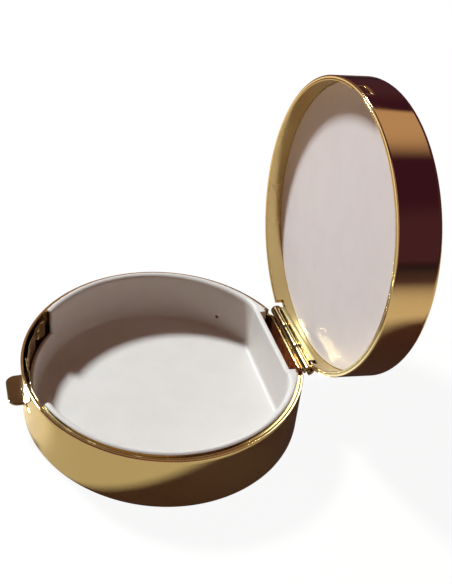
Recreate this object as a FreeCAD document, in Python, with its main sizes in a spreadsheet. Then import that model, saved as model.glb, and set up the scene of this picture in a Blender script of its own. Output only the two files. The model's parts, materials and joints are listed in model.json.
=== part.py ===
"""Round hinged compact: gold-plated case and lid, white liner tray, sprung thumb catch.

Millimetres. The origin is the centre of the flat underside, +Z is up, +Y points to the hinge
and -Y to the catch. Lid pieces are drawn closed and then swung open about the hinge axis.
"""
import FreeCAD
import Part
import Sketcher

import math
import os
import re

ORIGIN_POINT = (-1, 1)
HORIZONTAL_AXIS = -1
VERTICAL_AXIS = -2
SHEET_NAME = "dims"
TOLERANCE = 0.001

DIMENSIONS = [
    # case
    ("outer_radius", 30.0, "outside radius of case and lid"),
    ("wall", 0.6, "sheet thickness of case and lid"),
    ("case_height", 12.9, "underside to case rim"),
    ("bottom_round", 1.2, "outside radius round the underside"),
    ("rim_break", 0.1, "chamfer on the rims' edges"),
    ("pin_round", 0.12, "rounding of the hinge pin's ends"),
    # collar inside the case rim, which the lid closes over
    ("collar_outer", 29.38, "collar skirt, outside"),
    ("collar_skirt", 28.95, "collar skirt, inside"),
    ("collar_neck", 28.85, "collar neck, outside"),
    ("collar_bore", 28.43, "collar neck, inside"),
    ("collar_bottom", 8.6, "height of the skirt's lower edge"),
    ("collar_shelf", 12.4, "underside of the shelf between skirt and neck"),
    ("collar_top", 13.3, "height of the neck's upper edge"),
    # liner
    ("liner_outer", 28.4, "liner wall, outside"),
    ("liner_inner", 27.4, "liner wall, inside"),
    ("liner_bottom", 0.62, "liner underside"),
    ("liner_floor", 1.5, "floor of the tray"),
    ("liner_top", 13.55, "liner lip"),
    ("liner_lip", 0.3, "rounding of the liner's lip"),
    ("liner_flat", 24.0, "distance from the centre to the flat wall at the hinge"),
    ("trough_front", 25.2, "front of the trough that clears the hinge leaf"),
    ("trough_half", 9.8, "half length of the trough"),
    ("trough_floor", 5.4, "height of the trough's floor"),
    ("liner_low", 7.2, "liner wall height behind the catch"),
    # hinge
    ("axis_y", 29.2, "hinge axis, behind the centre"),
    ("axis_z", 13.2, "hinge axis, above the underside"),
    ("barrel_radius", 1.2, "knuckle, outside"),
    ("barrel_half", 10.6, "half length of the row of knuckles"),
    ("knuckle_half", 3.45, "half length of the lid's knuckle"),
    ("knuckle_gap", 0.15, "end play between knuckles"),
    ("pin_radius", 0.5, "hinge pin"),
    ("bore_radius", 0.55, "knuckle bore"),
    ("pin_half", 10.85, "half length of the pin"),
    ("leaf_front", 27.35, "inner face of both leaves"),
    ("leaf_back", 27.85, "outer face of both leaves"),
    ("leaf_half", 9.3, "half length of both leaves"),
    ("case_leaf_low", 6.0, "lower edge of the case leaf"),
    ("case_leaf_high", 13.0, "upper edge of the case leaf"),
    ("lid_leaf_low", 13.4, "lower edge of the lid leaf, lid closed"),
    ("lid_leaf_high", 14.7, "upper edge of the lid leaf, lid closed"),
    ("web", 0.6, "thickness of the web from leaf to knuckle"),
    ("notch_half", 11.1, "half length of the wall notches round the hinge"),
    ("case_notch_floor", 11.85, "bottom of the case's hinge notch"),
    ("lid_notch_roof", 14.55, "top of the lid's hinge notch, lid closed"),
    ("open_angle", 93.9, "how far the lid stands open"),
    # lid, heights given with the lid closed
    ("lid_rim", 12.95, "lid rim"),
    ("lid_top", 21.4, "outside of the lid's top"),
    ("lid_round", 0.97, "outside radius round the lid's top"),
    ("band_outer", 29.38, "inner band, outside"),
    ("band_inner", 28.95, "inner band, inside"),
    ("band_top", 17.5, "upper edge of the inner band"),
    ("band_cut_half", 9.7, "half length of the band's gap for the lid leaf"),
    ("disc_radius", 28.9, "white lid disc"),
    ("disc_low", 16.55, "visible face of the disc"),
    ("disc_thickness", 0.9, "lid disc"),
    ("disc_round", 0.4, "rounding of the disc's visible edge"),
    ("pad_radius", 28.5, "backing pad behind the disc"),
    ("pad_low", 17.47, "lower face of the backing pad"),
    ("pad_top", 20.75, "upper face of the backing pad"),
    # catch, angles turn from the front (-Y) towards +X
    ("catch_angle", 3.5, "direction of the thumb tab"),
    ("catch_from", -36.0, "start of the gap in liner and collar"),
    ("catch_span", 61.5, "width of that gap"),
    ("strip_from", -33.0, "fixed end of the spring strip"),
    ("strip_span", 53.0, "length of the strip"),
    ("strip_outer", 28.85, "strip, outside"),
    ("strip_inner", 28.5, "strip, inside"),
    ("strip_low", 7.4, "strip, lower edge"),
    ("strip_high", 11.9, "strip, upper edge"),
    ("foot_outer", 29.22, "raised foot at the strip's fixed end"),
    ("foot_span", 5.6, "length of the foot"),
    ("stud_angle", -27.5, "direction of the studs and of the foot"),
    ("flange_inner", 28.2, "turned-in upper edge of the strip"),
    ("flange_depth", 0.3, "depth of that edge"),
    ("flange_from", -12.0, "start of that edge"),
    ("flange_span", 21.0, "length of that edge"),
    ("hook_span", 7.2, "width of the hook"),
    ("hook_high", 14.6, "top of the hook"),
    ("hook_nose", 28.93, "nose of the hook"),
    ("hook_nose_low", 14.25, "underside of the nose"),
    ("keeper_inner", 29.0, "face of the lid's pressed-in keeper"),
    ("keeper_low", 13.55, "lower edge of the keeper, lid closed"),
    ("keeper_high", 14.2, "upper edge of the keeper, lid closed"),
    ("keeper_span", 5.0, "width of the keeper"),
    ("hook_gap_left", 0.6, "gap in the band for the hook, towards -X"),
    ("hook_gap_right", 4.2, "gap in the band for the hook, towards +X"),
    ("hook_gap_roof", 15.4, "top of that gap, lid closed"),
    ("stud_radius", 0.4, "stud shank"),
    ("stud_hole", 0.45, "hole for it in the strip's foot"),
    ("stud_head", 0.75, "stud head"),
    ("stud_head_high", 0.35, "thickness of the head"),
    ("stud_reach", 28.42, "underside of the head"),
    ("stud_low", 8.7, "height of the lower stud"),
    ("stud_pitch", 2.1, "distance between the studs"),
    ("tab_reach", 33.2, "outer edge of the thumb tab"),
    ("tab_half", 4.4, "half width of the thumb tab"),
    ("tab_low", 7.6, "underside of the tab"),
    ("tab_thickness", 0.4, "tab"),
    ("tab_corner", 2.1, "radius of the tab's outer corners"),
    ("tab_foot_inner", 28.88, "foot of the tab, against the strip"),
    ("tab_foot_outer", 29.14, "foot of the tab, outer face"),
    ("tab_foot_half", 2.8, "half width of the foot"),
    ("tab_foot_high", 10.2, "top of the foot"),
    ("slot_left", 3.4, "slot in the case wall, towards -X"),
    ("slot_right", 8.4, "slot in the case wall, towards +X"),
    ("slot_low", 7.3, "slot, lower edge"),
    ("slot_high", 8.3, "slot, upper edge"),
]

doc = FreeCAD.newDocument("compact")
sheet = doc.addObject("Spreadsheet::Sheet", SHEET_NAME)
for row, (alias, number, meaning) in enumerate(DIMENSIONS, start=1):
    sheet.set("A%d" % row, alias)
    sheet.set("B%d" % row, str(number))
    sheet.set("C%d" % row, meaning)
    sheet.setAlias("B%d" % row, alias)
doc.recompute()


def cell(alias):
    """The number that the sheet holds under this alias."""
    return float(getattr(sheet, alias))


def linked(text):
    """An expression in sheet aliases, written so that FreeCAD can follow it."""
    return re.sub(r"[a-z][a-z_]*", lambda word: "%s.%s" % (SHEET_NAME, word.group()), text)


# ---------------------------------------------------------------- sketch and feature helpers

def new_body(label):
    body = doc.addObject("PartDesign::Body", label)
    body.Label = label
    return body


def new_sketch(body, name, role, height=None):
    """A sketch on one of the body's own origin planes, lifted by height along its normal."""
    sketch = body.newObject("Sketcher::SketchObject", name)
    plane = [item for item in body.Origin.OriginFeatures if item.Role == role][0]
    sketch.AttachmentSupport = [(plane, "")]
    sketch.MapMode = "FlatFace"
    if height:
        sketch.setExpression("AttachmentOffset.Base.z", linked(height))
    return sketch


def hold(sketch, kind, axis, line, end, text):
    """Fix one coordinate of a point: zero lies on the axis, a leading minus is the other side."""
    if text == "0":
        sketch.addConstraint(Sketcher.Constraint("PointOnObject", line, end, axis))
        return
    points = ORIGIN_POINT + (line, end)
    if text.startswith("-"):
        points = (line, end) + ORIGIN_POINT
        text = text[1:]
    number = sketch.addConstraint(Sketcher.Constraint(kind, *points, 1.0))
    sketch.setExpression("Constraints[%d]" % number, linked(text))


def outline(sketch, corners):
    """A closed outline through corners, each a pair of expressions in sheet aliases."""
    count = len(corners)
    turn = 2 * math.pi / count
    start = [FreeCAD.Vector(math.cos(turn * k), math.sin(turn * k), 0) for k in range(count)]
    for index in range(count):
        sketch.addGeometry(Part.LineSegment(start[index], start[(index + 1) % count]), False)
    for index in range(count):
        sketch.addConstraint(Sketcher.Constraint("Coincident", index, 2, (index + 1) % count, 1))
    for index, (across, along) in enumerate(corners):
        hold(sketch, "DistanceX", VERTICAL_AXIS, index, 1, across)
        hold(sketch, "DistanceY", HORIZONTAL_AXIS, index, 1, along)


def rectangle(sketch, left, right, low, high):
    outline(sketch, [(left, low), (right, low), (right, high), (left, high)])


def circle(sketch, across, along, radius):
    number = sketch.addGeometry(Part.Circle(FreeCAD.Vector(1, 1, 0), FreeCAD.Vector(0, 0, 1), 1), False)
    hold(sketch, "DistanceX", VERTICAL_AXIS, number, 3, across)
    hold(sketch, "DistanceY", HORIZONTAL_AXIS, number, 3, along)
    rule = sketch.addConstraint(Sketcher.Constraint("Radius", number, 1.0))
    sketch.setExpression("Constraints[%d]" % rule, linked(radius))


def revolve(body, corners):
    """Turn an outline of (radius, height) corners about the vertical axis."""
    sketch = new_sketch(body, body.Label + "_profile", "XZ_Plane")
    outline(sketch, corners)
    turned = body.newObject("PartDesign::Revolution", body.Label + "_turned")
    turned.Profile = sketch
    turned.ReferenceAxis = (sketch, ["V_Axis"])
    turned.Angle = 360
    doc.recompute()
    return turned


def pad(body, sketch, length, both_ways=False):
    feature = body.newObject("PartDesign::Pad", sketch.Label + "_pad")
    feature.Profile = sketch
    feature.setExpression("Length", linked(length))
    feature.Midplane = both_ways
    doc.recompute()
    return feature


def pocket(body, sketch, length=None, backwards=False, both_ways=False):
    """Cut a sketch out of the body, and insist that it does remove material."""
    before = body.Shape.Volume
    feature = body.newObject("PartDesign::Pocket", sketch.Label + "_pocket")
    feature.Profile = sketch
    feature.Midplane = both_ways
    feature.Reversed = backwards
    if length:
        feature.setExpression("Length", linked(length))
    else:
        feature.Type = 1
    doc.recompute()
    if body.Shape.Volume > before - TOLERANCE:
        raise RuntimeError("%s cuts nothing" % sketch.Label)
    return feature


def rings(shape, radius, height):
    """Names of the circular edges about the vertical axis with this radius and height."""
    found = []
    for number, edge in enumerate(shape.Edges, start=1):
        curve = edge.Curve
        if not isinstance(curve, Part.Circle):
            continue
        right_size = abs(curve.Radius - radius) < TOLERANCE
        if right_size and abs(curve.Center.z - height) < TOLERANCE:
            found.append("Edge%d" % number)
    return found


def round_off(body, names, radius):
    before = body.Tip
    feature = body.newObject("PartDesign::Fillet", body.Label + "_round")
    feature.Base = (before, names)
    feature.setExpression("Radius", linked(radius))
    doc.recompute()
    return feature


def break_edges(body, names):
    """A small chamfer on sheet edges, so that they aren't sharp."""
    before = body.Tip
    feature = body.newObject("PartDesign::Chamfer", body.Label + "_break")
    feature.Base = (before, names)
    feature.setExpression("Size", linked("rim_break"))
    doc.recompute()
    return feature


def wedge_cut(body, name, start, span, low):
    """Cut a wedge about the vertical axis out of a ring, from height low upwards."""
    reach = 2 * cell("outer_radius")
    sketch = new_sketch(body, name, "XY_Plane", low)
    corners = [FreeCAD.Vector(0, 0, 0)]
    for angle in (cell(start), cell(start) + cell(span)):
        turn = math.radians(angle)
        corners.append(FreeCAD.Vector(reach * math.sin(turn), -reach * math.cos(turn), 0))
    for index, corner in enumerate(corners):
        sketch.addGeometry(Part.LineSegment(corner, corners[(index + 1) % 3]), False)
    for index in range(3):
        sketch.addConstraint(Sketcher.Constraint("Coincident", index, 2, (index + 1) % 3, 1))
        sketch.addConstraint(Sketcher.Constraint("Block", index))
    return pocket(body, sketch, backwards=True)


# ---------------------------------------------------------------- solid helpers

def cylinder(name, radius, low, high, start=None, span=None):
    """An upright cylinder, or a slice of one between two angles from the front."""
    solid = doc.addObject("Part::Cylinder", name)
    solid.setExpression("Radius", linked(radius))
    solid.setExpression("Height", linked("%s - (%s)" % (high, low)))
    solid.setExpression("Placement.Base.z", linked(low))
    if start:
        solid.setExpression("Angle", linked(span))
        solid.Placement.Rotation = FreeCAD.Rotation(FreeCAD.Vector(0, 0, 1), 1)
        solid.setExpression("Placement.Rotation.Angle", linked("%s - 90" % start))
    return solid


def box(name, half_x, low_y, high_y, low_z, high_z):
    """A box centred on x = 0."""
    solid = doc.addObject("Part::Box", name)
    solid.setExpression("Length", linked("2 * %s" % half_x))
    solid.setExpression("Width", linked("%s - (%s)" % (high_y, low_y)))
    solid.setExpression("Height", linked("%s - (%s)" % (high_z, low_z)))
    solid.setExpression("Placement.Base.x", linked("-1 * %s" % half_x))
    solid.setExpression("Placement.Base.y", linked(low_y))
    solid.setExpression("Placement.Base.z", linked(low_z))
    return solid


def combine(kind, name, base, tool):
    result = doc.addObject("Part::" + kind, name)
    result.Base = base
    result.Tool = tool
    result.Label = name
    return result


def arc_strip(name, outer, inner, low, high, start, span):
    """A curved strip about the vertical axis."""
    whole = cylinder(name + "_outside", outer, low, high, start, span)
    core = cylinder(name + "_core", inner, low, high)
    return combine("Cut", name, whole, core)


def radial_cylinder(name, radius, outer, inner, height):
    """A cylinder that lies along the stud direction, from the outer to the inner distance."""
    solid = doc.addObject("Part::Cylinder", name)
    solid.setExpression("Radius", linked(radius))
    solid.setExpression("Height", linked("%s - (%s)" % (outer, inner)))
    turn = math.radians(cell("stud_angle"))
    outwards = FreeCAD.Vector(math.sin(turn), -math.cos(turn), 0)
    solid.Placement.Rotation = FreeCAD.Rotation(FreeCAD.Vector(0, 0, 1), outwards)
    direction = (linked(inner), linked("stud_angle"))
    solid.setExpression("Placement.Base.x", "(%s) * sin(%s * 1 deg)" % direction)
    solid.setExpression("Placement.Base.y", "-(%s) * cos(%s * 1 deg)" % direction)
    solid.setExpression("Placement.Base.z", linked(height))
    return solid


# ---------------------------------------------------------------- case

def make_base_case():
    """Drawn cup with a rounded underside, a slot for the tab and a notch for the hinge."""
    body = new_body("base_case")
    revolve(body, [
        ("0", "0"), ("outer_radius", "0"), ("outer_radius", "case_height"),
        ("outer_radius - wall", "case_height"), ("outer_radius - wall", "wall"), ("0", "wall")])
    outside, inside = cell("outer_radius"), cell("outer_radius") - cell("wall")
    round_off(body, rings(body.Shape, outside, 0), "bottom_round")
    round_off(body, rings(body.Shape, inside, cell("wall")), "bottom_round - wall")
    rim = rings(body.Shape, outside, cell("case_height")) + rings(body.Shape, inside, cell("case_height"))
    break_edges(body, rim)

    slot = new_sketch(body, "tab_slot", "XZ_Plane")
    rectangle(slot, "-slot_left", "slot_right", "slot_low", "slot_high")
    pocket(body, slot, backwards=True)

    notch = new_sketch(body, "case_hinge_notch", "XZ_Plane")
    rectangle(notch, "-notch_half", "notch_half", "case_notch_floor", "axis_z")
    pocket(body, notch)
    return body


def make_base_collar():
    """Stepped band pressed into the case: its neck centres the closed lid."""
    body = new_body("base_collar")
    revolve(body, [
        ("collar_outer", "collar_bottom"), ("collar_outer", "case_height"),
        ("collar_neck", "case_height"), ("collar_neck", "collar_top"),
        ("collar_bore", "collar_top"), ("collar_bore", "collar_shelf"),
        ("collar_skirt", "collar_shelf"), ("collar_skirt", "collar_bottom")])
    neck_edge = rings(body.Shape, cell("collar_neck"), cell("collar_top"))
    break_edges(body, neck_edge)
    wedge_cut(body, "collar_catch_gap", "catch_from", "catch_span", "collar_bottom")
    gap = new_sketch(body, "collar_hinge_gap", "XZ_Plane")
    rectangle(gap, "-notch_half", "notch_half", "collar_bottom", "axis_z + wall")
    pocket(body, gap)
    return body


def make_liner_tray():
    """White moulded tray: flat wall with a trough at the hinge, low wall behind the catch."""
    block = cylinder("liner_block", "liner_outer", "liner_bottom", "liner_top")
    hollow_round = cylinder("liner_hollow_round", "liner_inner", "liner_floor", "liner_top + wall")
    hollow_front = box("liner_hollow_front", "outer_radius", "-1 * outer_radius", "liner_flat",
                       "liner_floor", "liner_top + wall")
    hollow = combine("Common", "liner_hollow", hollow_round, hollow_front)
    cup = combine("Cut", "liner_cup", block, hollow)
    trough = box("liner_trough", "trough_half", "trough_front", "outer_radius",
                 "trough_floor", "liner_top + wall")
    troughed = combine("Cut", "liner_troughed", cup, trough)
    gap = cylinder("liner_catch_gap", "outer_radius", "liner_low", "liner_top + wall",
                   "catch_from", "catch_span")
    lowered = combine("Cut", "liner_lowered", troughed, gap)
    doc.recompute()
    lip = []
    for number, edge in enumerate(lowered.Shape.Edges, start=1):
        if abs(edge.BoundBox.ZMin - cell("liner_top")) < TOLERANCE and isinstance(edge.Curve, Part.Circle):
            lip.append((number, cell("liner_lip"), cell("liner_lip")))
    tray = doc.addObject("Part::Fillet", "liner_tray")
    tray.Base = lowered
    tray.Edges = lip
    tray.Label = "liner_tray"
    return tray


# ---------------------------------------------------------------- hinge

def leaf(label, low, high):
    """A flat leaf that lies parallel to the hinge axis."""
    body = new_body(label)
    plate = new_sketch(body, label + "_plate", "YZ_Plane")
    rectangle(plate, "leaf_front", "leaf_back", low, high)
    pad(body, plate, "2 * leaf_half", both_ways=True)
    return body


def knuckles(body, half, low):
    """A web and a barrel along the hinge axis, bored for the pin."""
    web = new_sketch(body, body.Label + "_web", "YZ_Plane")
    rectangle(web, "leaf_front", "axis_y - bore_radius", low, low + " + web")
    pad(body, web, "2 * " + half[0], both_ways=True)
    barrel = new_sketch(body, body.Label + "_barrel", "YZ_Plane")
    circle(barrel, "axis_y", "axis_z", "barrel_radius")
    pad(body, barrel, "2 * " + half[1], both_ways=True)
    bore = new_sketch(body, body.Label + "_bore", "YZ_Plane")
    circle(bore, "axis_y", "axis_z", "bore_radius")
    pocket(body, bore, "2 * outer_radius", both_ways=True)


def make_hinge_case_leaf():
    """Leaf soldered inside the case, with the two outer knuckles."""
    body = leaf("hinge_case_leaf", "case_leaf_low", "case_leaf_high")
    knuckles(body, ("leaf_half", "barrel_half"), "case_leaf_high - web")
    middle = new_sketch(body, "case_leaf_middle", "YZ_Plane")
    rectangle(middle, "leaf_back", "outer_radius + wall", "case_notch_floor", "lid_notch_roof")
    pocket(body, middle, "2 * (knuckle_half + knuckle_gap)", both_ways=True)
    return body


def make_hinge_lid_leaf():
    """Leaf soldered inside the lid, with the middle knuckle."""
    body = leaf("hinge_lid_leaf", "lid_leaf_low", "lid_leaf_high")
    knuckles(body, ("knuckle_half", "knuckle_half"), "lid_leaf_low")
    return body


def make_hinge_pin():
    body = new_body("hinge_pin")
    section = new_sketch(body, "pin_section", "YZ_Plane")
    circle(section, "axis_y", "axis_z", "pin_radius")
    pad(body, section, "2 * pin_half", both_ways=True)
    ends = [name for name in ("Edge1", "Edge2", "Edge3")
            if isinstance(body.Shape.getElement(name).Curve, Part.Circle)]
    round_off(body, ends, "pin_round")
    return body


# ---------------------------------------------------------------- catch

def make_catch_spring():
    """Curved spring strip inside the wall: foot, turned-in edge and hook."""
    strip = arc_strip("strip_band", "strip_outer", "strip_inner", "strip_low", "strip_high",
                      "strip_from", "strip_span")
    foot = arc_strip("strip_foot", "foot_outer", "strip_inner", "strip_low", "strip_high",
                     "stud_angle - foot_span / 2", "foot_span")
    flange = arc_strip("strip_flange", "strip_outer", "flange_inner", "strip_high - flange_depth",
                       "strip_high", "flange_from", "flange_span")
    hook = arc_strip("strip_hook", "strip_outer", "strip_inner", "strip_high - flange_depth",
                     "hook_high", "catch_angle - hook_span / 2", "hook_span")
    nose = arc_strip("strip_nose", "hook_nose", "strip_inner", "hook_nose_low", "hook_high",
                     "catch_angle - hook_span / 2", "hook_span")
    whole = strip
    for number, piece in enumerate((foot, flange, hook, nose), start=1):
        whole = combine("Fuse", "strip_joined_%d" % number, whole, piece)
    for number, height in enumerate(("stud_low", "stud_low + stud_pitch"), start=1):
        hole = radial_cylinder("stud_hole_%d" % number, "stud_hole", "outer_radius",
                               "flange_inner", height)
        whole = combine("Cut", "strip_holed_%d" % number, whole, hole)
    whole.Label = "catch_spring"
    return whole


def make_catch_studs():
    """Two headed studs, welded to the wall, that hold the strip's foot."""
    studs = []
    for number, height in enumerate(("stud_low", "stud_low + stud_pitch"), start=1):
        shank = radial_cylinder("shank_%d" % number, "stud_radius", "collar_outer",
                                "stud_reach - stud_head_high / 2", height)
        head = radial_cylinder("head_%d" % number, "stud_head", "stud_reach",
                               "stud_reach - stud_head_high", height)
        studs.append(combine("Fuse", "stud_%d" % number, shank, head))
    group = doc.addObject("Part::Compound", "catch_studs")
    group.Links = studs
    group.Label = "catch_studs"
    return group


def make_thumb_tab():
    """Flat tab that passes through the slot and is soldered to the strip by its foot."""
    body = new_body("thumb_tab")
    plate = new_sketch(body, "tab_plate", "XY_Plane", "tab_low")
    rectangle(plate, "-tab_half", "tab_half", "-tab_reach", "-tab_foot_inner")
    pad(body, plate, "tab_thickness")
    corners = []
    for number, edge in enumerate(body.Shape.Edges, start=1):
        upright = abs(edge.BoundBox.ZLength - cell("tab_thickness")) < TOLERANCE
        if upright and abs(edge.BoundBox.YMin + cell("tab_reach")) < TOLERANCE:
            corners.append("Edge%d" % number)
    round_off(body, corners, "tab_corner")
    foot = new_sketch(body, "tab_foot", "XY_Plane", "tab_low")
    rectangle(foot, "-tab_foot_half", "tab_foot_half", "-tab_foot_outer", "-tab_foot_inner")
    pad(body, foot, "tab_foot_high - tab_low")
    upwards = FreeCAD.Vector(0, 0, 1)
    body.Placement = FreeCAD.Placement(FreeCAD.Vector(), FreeCAD.Rotation(upwards, cell("catch_angle")))
    return body


# ---------------------------------------------------------------- lid

def make_lid_case():
    """Drawn cup with a rounded top, a notch for the hinge and a pressed-in keeper."""
    body = new_body("lid_case")
    revolve(body, [
        ("0", "lid_top"), ("outer_radius", "lid_top"), ("outer_radius", "lid_rim"),
        ("outer_radius - wall", "lid_rim"), ("outer_radius - wall", "lid_top - wall"),
        ("0", "lid_top - wall")])
    outside, inside = cell("outer_radius"), cell("outer_radius") - cell("wall")
    round_off(body, rings(body.Shape, outside, cell("lid_top")), "lid_round")
    round_off(body, rings(body.Shape, inside, cell("lid_top") - cell("wall")), "lid_round - wall")
    rim = rings(body.Shape, outside, cell("lid_rim")) + rings(body.Shape, inside, cell("lid_rim"))
    break_edges(body, rim)
    notch = new_sketch(body, "lid_hinge_notch", "XZ_Plane")
    rectangle(notch, "-notch_half", "notch_half", "case_height", "lid_notch_roof")
    pocket(body, notch)
    return body


def make_lid_keeper():
    """Small keeper that stands in from the lid wall under the hook's nose."""
    return arc_strip("lid_keeper", "band_outer", "keeper_inner", "keeper_low", "keeper_high",
                     "catch_angle - keeper_span / 2", "keeper_span")


def make_lid_inner_band():
    """Second skin of the lid rim, gapped for the hook and for the hinge leaf."""
    body = new_body("lid_inner_band")
    revolve(body, [
        ("band_outer", "lid_rim"), ("band_outer", "band_top"),
        ("band_inner", "band_top"), ("band_inner", "lid_rim")])
    break_edges(body, rings(body.Shape, cell("band_inner"), cell("lid_rim")))
    notch = new_sketch(body, "band_hinge_notch", "XZ_Plane")
    rectangle(notch, "-notch_half", "notch_half", "case_height", "lid_notch_roof")
    pocket(body, notch)
    leaf_gap = new_sketch(body, "band_leaf_gap", "XZ_Plane")
    rectangle(leaf_gap, "-band_cut_half", "band_cut_half", "case_height", "lid_leaf_high")
    pocket(body, leaf_gap)
    hook_gap = new_sketch(body, "band_hook_gap", "XZ_Plane")
    rectangle(hook_gap, "-hook_gap_left", "hook_gap_right", "case_height", "hook_gap_roof")
    pocket(body, hook_gap, backwards=True)
    return body


def make_lid_disc():
    """White disc that shows inside the open lid."""
    body = new_body("lid_disc")
    revolve(body, [
        ("0", "disc_low"), ("disc_radius", "disc_low"),
        ("disc_radius", "disc_low + disc_thickness"), ("0", "disc_low + disc_thickness")])
    round_off(body, rings(body.Shape, cell("disc_radius"), cell("disc_low")), "disc_round")
    return body


def make_lid_backing_pad():
    """Pad that fills the lid behind the disc and holds it level."""
    body = new_body("lid_backing_pad")
    revolve(body, [
        ("0", "pad_low"), ("pad_radius", "pad_low"), ("pad_radius", "pad_top"), ("0", "pad_top")])
    return body


def swing_open(piece):
    """Turn a piece that was drawn with the lid closed to the open lid."""
    axis_point = FreeCAD.Vector(0, cell("axis_y"), cell("axis_z"))
    turn = FreeCAD.Rotation(FreeCAD.Vector(-1, 0, 0), cell("open_angle"))
    swing = FreeCAD.Placement(FreeCAD.Vector(), turn, axis_point)
    piece.Placement = swing.multiply(piece.Placement)


# ---------------------------------------------------------------- assembly and export

CASE_PIECES = [
    make_base_case(), make_base_collar(), make_liner_tray(),
    make_hinge_case_leaf(), make_hinge_pin(), make_catch_studs()]
CATCH_PIECES = [make_catch_spring(), make_thumb_tab()]
LID_PIECES = [
    make_lid_case(), make_lid_inner_band(), make_lid_keeper(),
    make_lid_disc(), make_lid_backing_pad(), make_hinge_lid_leaf()]
for lid_piece in LID_PIECES:
    swing_open(lid_piece)
doc.recompute()

for item in doc.Objects:
    if "Invalid" in item.State or "Error" in item.State:
        raise RuntimeError("%s failed: %s" % (item.Label, item.State))
pieces = CASE_PIECES + CATCH_PIECES + LID_PIECES
for piece in pieces:
    if piece.Shape.isNull() or not piece.Shape.isValid():
        raise RuntimeError("%s has no valid shape" % piece.Label)

os.makedirs("parts", exist_ok=True)
for piece in pieces:
    piece.Shape.exportStep("parts/%s.step" % piece.Label)
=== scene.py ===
"""Looks of the round gilt compact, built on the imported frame.

Lengths below are millimetres in the frame's own axes: +Z up, +Y to the hinge, -Y to the catch.
Directions about the vertical axis are degrees turned from -Y towards +X. Lid pieces are shaped
closed and then swung open about the hinge axis that the frame gives.
"""
import json
import math

import bmesh
import bpy
import numpy as np
from mathutils import Matrix, Vector

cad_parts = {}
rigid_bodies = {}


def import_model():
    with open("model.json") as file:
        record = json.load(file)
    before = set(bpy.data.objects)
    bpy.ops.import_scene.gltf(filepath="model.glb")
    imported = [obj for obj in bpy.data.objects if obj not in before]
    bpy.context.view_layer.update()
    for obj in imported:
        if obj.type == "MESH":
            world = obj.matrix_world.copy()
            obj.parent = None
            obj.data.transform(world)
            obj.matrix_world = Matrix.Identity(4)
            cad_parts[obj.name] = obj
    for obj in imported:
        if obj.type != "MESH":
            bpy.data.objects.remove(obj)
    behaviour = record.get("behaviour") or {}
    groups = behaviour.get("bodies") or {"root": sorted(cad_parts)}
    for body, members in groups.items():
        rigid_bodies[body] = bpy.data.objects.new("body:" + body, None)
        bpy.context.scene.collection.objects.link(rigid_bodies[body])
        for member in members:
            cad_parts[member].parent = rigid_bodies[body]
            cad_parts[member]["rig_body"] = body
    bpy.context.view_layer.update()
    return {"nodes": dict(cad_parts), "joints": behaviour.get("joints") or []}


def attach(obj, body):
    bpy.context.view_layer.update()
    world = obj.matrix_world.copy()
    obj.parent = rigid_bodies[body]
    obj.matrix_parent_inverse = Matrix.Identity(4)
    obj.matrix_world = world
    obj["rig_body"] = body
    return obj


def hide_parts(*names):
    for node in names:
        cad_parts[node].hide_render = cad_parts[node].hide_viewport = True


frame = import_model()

scene = bpy.context.scene
MM = 0.001
MERGE_METRES = 2e-7
FLAT_METRES = 1e-8
EPSILON = 1e-6


# ---------- sizes read from the frame

HINGE = next(joint for joint in frame["joints"] if joint["name"] == "lid_hinge")
CLOSED_TO_OPEN = math.radians(HINGE["range_deg"][0])
HINGE_Y = HINGE["pos_m"][1] / MM
HINGE_Z = HINGE["pos_m"][2] / MM
HINGE_POINT = Vector((0, HINGE_Y, HINGE_Z))
TO_HINGE = Matrix.Translation(HINGE_POINT)
SWING_OPEN = TO_HINGE @ Matrix.Rotation(CLOSED_TO_OPEN, 4, "X") @ TO_HINGE.inverted()
LID_BODY = "lid"


class Extent:
    """Reach of a CAD node in millimetres, lid nodes measured with the lid closed."""

    def __init__(self, node):
        source = frame["nodes"][node]
        points = np.array([v.co for v in source.data.vertices], float) / MM
        if source["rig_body"] == LID_BODY:
            closed = np.array(SWING_OPEN.inverted())
            points = points @ closed[:3, :3].T + closed[:3, 3]
        radius = np.hypot(points[:, 0], points[:, 1])
        self.low, self.high = points.min(0), points.max(0)
        self.inner, self.outer = radius.min(), radius.max()
        self.bottom, self.top = self.low[2], self.high[2]


CASE = Extent("base_case")
COLLAR = Extent("base_collar")
LINER = Extent("liner_tray")
CASE_LEAF = Extent("hinge_case_leaf")
LID_LEAF = Extent("hinge_lid_leaf")
PIN = Extent("hinge_pin")
SPRING = Extent("catch_spring")
TAB = Extent("thumb_tab")
LID = Extent("lid_case")
BAND = Extent("lid_inner_band")
KEEPER = Extent("lid_keeper")
DISC = Extent("lid_disc")
PAD = Extent("lid_backing_pad")

SHEET = 0.6
SHEET_EDGE = 0.15
SHEET_INNER_EDGE = 0.03
RING_STEPS = 300
NOTCH_HALF = 11.1
CATCH_FROM = -36.0
CATCH_TO = 25.5
CATCH_ANGLE = 3.5
SEAM = -90.0


# ---------- mesh tools

def linked(name, data):
    """An object of this data, in the scene."""
    made = bpy.data.objects.new(name, data)
    scene.collection.objects.link(made)
    return made


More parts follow.
